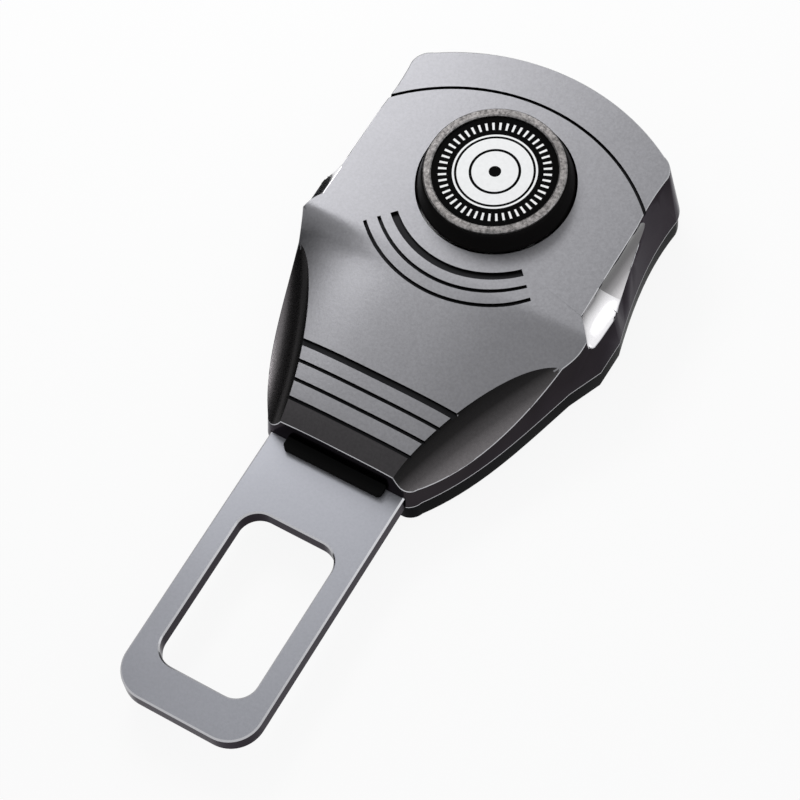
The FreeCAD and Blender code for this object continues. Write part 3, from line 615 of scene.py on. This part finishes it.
def shellRegion(part):
    # the material slot of one face; both side hollows are inLowerHollow until the cut at their ridge
    centre, normal = part.calc_center_median(), part.normal
    y = centre.y - shell["axisY"]
    height, up = faceAt(centre.x, y)
    if abs(centre.z - height) < region["faceGap"] and normal.dot(up) > region["faceMatch"]:
        return onStrip if y < shell["stripY"] else onFace
    if centre.z < shell["partingZ"] + shell["beadHeight"] and abs(normal.z) < region["beadLean"]:
        return rimIndex
    gap, out = leafAt(centre)
    if y < region["leafStart"] and gap < region["leafGap"] and normal.dot(out) > region["leafMatch"]:
        return inLeaf
    if normal.z < region["underLean"] or centre.z < shell["partingZ"] + region["footHeight"]:
        return onWall
    # the button hole's wall joins the grooves and their painted shade
    if math.hypot(centre.x, y) < shell["holeRadius"]:
        return inGroove
    depth = height - centre.z
    grooveSide = abs(normal.z) < region["grooveSideLean"]
    grooveFloor = depth > region["grooveFloorDepth"] and normal.z > region["grooveFloorLean"]
    if 0 < depth < region["grooveReach"] and (grooveSide or grooveFloor):
        return inGroove
    lowY, highY = shell["hollowY"]
    if lowY < y < highY and centre.z > shell["hollowFoot"]:
        lean = math.tan(math.radians(shell["draft"]))
        inset = halfAt(centre.y)[0] - abs(centre.x) - lean * (centre.z - shell["partingZ"])
        if inset > region["hollowInset"]:
            return inLowerHollow
        for rows in (shell["upperRows"], shell["lowerRows"]):
            gap, out = hollowAt(centre, rows)
            if gap < region["hollowGap"] and normal.angle(out) < normal.angle(wallAt(centre)):
                return inLowerHollow
    return onWall


def shellNormal(slot, point):
    # the direction that light takes at one corner of a face, or nothing where the mesh's own is right
    if slot in (onFace, onStrip):
        return faceAt(point.x, point.y - shell["axisY"] + shell["shadeShift"])[1]
    if slot == inLeaf:
        return leafAt(point)[1]
    if slot == inLowerHollow:
        return hollowAt(point, shell["lowerRows"])[1]
    if slot == inUpperHollow:
        return hollowAt(point, shell["upperRows"])[1]
    return None


form = cleanCopy("front_cover")
cutAcross(form, form.verts[:] + form.edges[:] + form.faces[:],
          (0, 0, shell["partingZ"] + shell["beadHeight"]), (0, 0, 1))
outline = outlineOf(form)
for part in form.faces:
    part.material_index = shellRegion(part)
for side in (1, -1):
    x, y, z = shell["crossPoint"]
    place, across = Vector((side * x, y + shell["axisY"], z)), Vector(shell["crossAcross"])
    across.x *= side
    hollow = {part for part in form.faces
              if part.material_index == inLowerHollow and part.calc_center_median().x * side > 0}
    edges = {e for part in hollow for e in part.edges}
    verts = {v for part in hollow for v in part.verts}
    cutAcross(form, list(hollow | edges | verts), place, across)
    for part in form.faces:
        middle = part.calc_center_median()
        above = (middle - place).dot(across) < 0
        if part.material_index == inLowerHollow and middle.x * side > 0 and above:
            part.material_index = inUpperHollow

softPairs = ({onFace, inGroove}, {inGroove, onStrip}, {onFace, inLeaf}, {inLeaf, onStrip})
paintedHighlightPairs = ({onFace, onWall}, {onFace, inLowerHollow}, {onFace, inUpperHollow}, {onWall, inLowerHollow},
               {onWall, inUpperHollow}, {onWall, onStrip}, {onWall, inLeaf})


def between(edge):
    return {part.material_index for part in edge.link_faces}


breakEdges(form, shell["softWidth"], keep=lambda e: between(e) in softPairs)
# rounds between these pairs take the rim slot, painted bright as a painted highlight
breakEdges(form, shell["rimWidth"], rimSlot=rimIndex, keep=lambda e: between(e) in paintedHighlightPairs)
finishPiece(form, "frontShell", "housing", "front_cover",
            (faceSatin, wallPaintedDarkReflection, hollowPaintedLight, leafPaintedShade, edgePaintedHighlight, groovePaintedShade, stripSmoke, hollowPaintedShade),
            shellNormal)


# tongue plate: satin sheet, sides painted dark as a painted dark reflection and a thin break all round
# painted bright as a painted highlight
tongue = {
    "sideLean": 0.3,
    "breakLean": 0.9,
}
form = cleanCopy("tongue_plate")
for part in form.faces:
    lean = abs(part.normal.z)
    part.material_index = 1 if lean < tongue["sideLean"] else rimIndex if lean < tongue["breakLean"] else 0
finishPiece(form, "tonguePlate", "housing", "tongue_plate",
            (tongueSteel, wallPaintedDarkReflection, wallPaintedDarkReflection, wallPaintedDarkReflection, edgePaintedHighlight))


# rear tray: gloss black with a soft moulded edge
tray = {
    "edge": 0.15 * mm,
    "edgeAngle": 28.0,  # degrees
}
form = cleanCopy("rear_cover")
breakEdges(form, tray["edge"], angle=tray["edgeAngle"])
finishPiece(form, "rearTray", "housing", "rear_cover", (glossBlack,))


# button: a tapered black body and a grainy ring
knob = {
    "edge": 0.1 * mm,
    "edgeAngle": 30.0,  # degrees
    "ringLean": (0.2, 0.9),
}
form = cleanCopy("button_body")
breakEdges(form, knob["edge"], angle=knob["edgeAngle"])
finishPiece(form, "knobBody", "button", "button_body", (buttonBlack,))

form = cleanCopy("button_ring")
# the ring's sloped edge faces take the rim slot, painted brighter as a painted highlight
low, high = knob["ringLean"]
for part in form.faces:
    part.material_index = rimIndex if low < abs(part.normal.z) < high else 0
finishPiece(form, "knobRing", "button", "button_ring",
            (ringMetal, ringMetal, ringMetal, ringMetal, ringPaintedHighlight))


# badge: a black disc printed with ticks, a thin line and a white field that holds a ring and a dot
badge = {
    "fieldRadius": 5.5 * mm,
    "line": (5.85 * mm, 6.15 * mm),
    "tick": (6.95 * mm, 8.15 * mm),
    "ticks": 48,
    "tickShare": 0.34,
    "mark": (3.35 * mm, 3.75 * mm),
    "dotRadius": 0.9 * mm,
    "fibreScale": 1800.0,
    "fibreDetail": 2.0,
    "paper": [(0.3, 0.90), (0.7, 0.95)],
    "black": (0.003, 0.003, 0.003, 1),
    "rough": (0.3, 0.4),
    "gloss": 1.05,
}
badgePrint, tree, shader = newMaterial("badgePrint")
spot = put(tree, "TexCoord").outputs["Object"]
place = put(tree, "SeparateXYZ", {"Vector": spot}).outputs
across = place["X"]
along = calc(tree, "SUBTRACT", place["Y"], shell["axisY"])
radius = calc(tree, "SQRT", calc(tree, "ADD", calc(tree, "MULTIPLY", across, across),
                                 calc(tree, "MULTIPLY", along, along)))
turn = calc(tree, "MULTIPLY", calc(tree, "ARCTAN2", along, across), badge["ticks"] / (2 * math.pi))
fullTurns = 200.0  # keeps the count of ticks above zero


def ringBand(inner, outer):
    return calc(tree, "MULTIPLY", calc(tree, "GREATER_THAN", radius, inner),
                calc(tree, "LESS_THAN", radius, outer))


inTick = calc(tree, "LESS_THAN", calc(tree, "FRACT", calc(tree, "ADD", turn, fullTurns)), badge["tickShare"])
marks = calc(tree, "MULTIPLY", ringBand(*badge["tick"]), inTick)
marks = calc(tree, "MAXIMUM", marks, ringBand(*badge["line"]))
field = calc(tree, "LESS_THAN", radius, badge["fieldRadius"])
ink = calc(tree, "MAXIMUM", ringBand(*badge["mark"]), calc(tree, "LESS_THAN", radius, badge["dotRadius"]))
marks = calc(tree, "MAXIMUM", marks, calc(tree, "SUBTRACT", field, ink, clamp=True))
fibre = noise(tree, spot, badge["fibreScale"], badge["fibreDetail"])
tree.links.new(mixColour(tree, marks, badge["black"], ramp(tree, fibre, badge["paper"])),
               shader.inputs["Base Color"])
low, high = badge["rough"]
rough = put(tree, "MapRange", {"Value": fibre, "To Min": low, "To Max": high})
tree.links.new(rough.outputs[0], shader.inputs["Roughness"])
fill(shader, {"IOR": badge["gloss"]})
dress(cad["badge_disc"], badgePrint)
print("button made")


def springPiece(node, name, body):
    form = cleanCopy(node)
    low = [min(v.co[i] for v in form.verts) for i in range(3)]
    high = [max(v.co[i] for v in form.verts) for i in range(3)]
    return finishPiece(form, name, body, node, (springSteel,)), low, high


buttonCoils, low, high = springPiece("button_springs", "buttonCoils", "button")
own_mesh(buttonCoils)
ejectorCoil, low, high = springPiece("ejector_spring", "ejectorCoil", "housing")
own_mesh(ejectorCoil)
latchCoil, low, high = springPiece("latch_spring", "latchCoil", None)
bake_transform(latchCoil)
print("springs made")

bpy.context.view_layer.update()
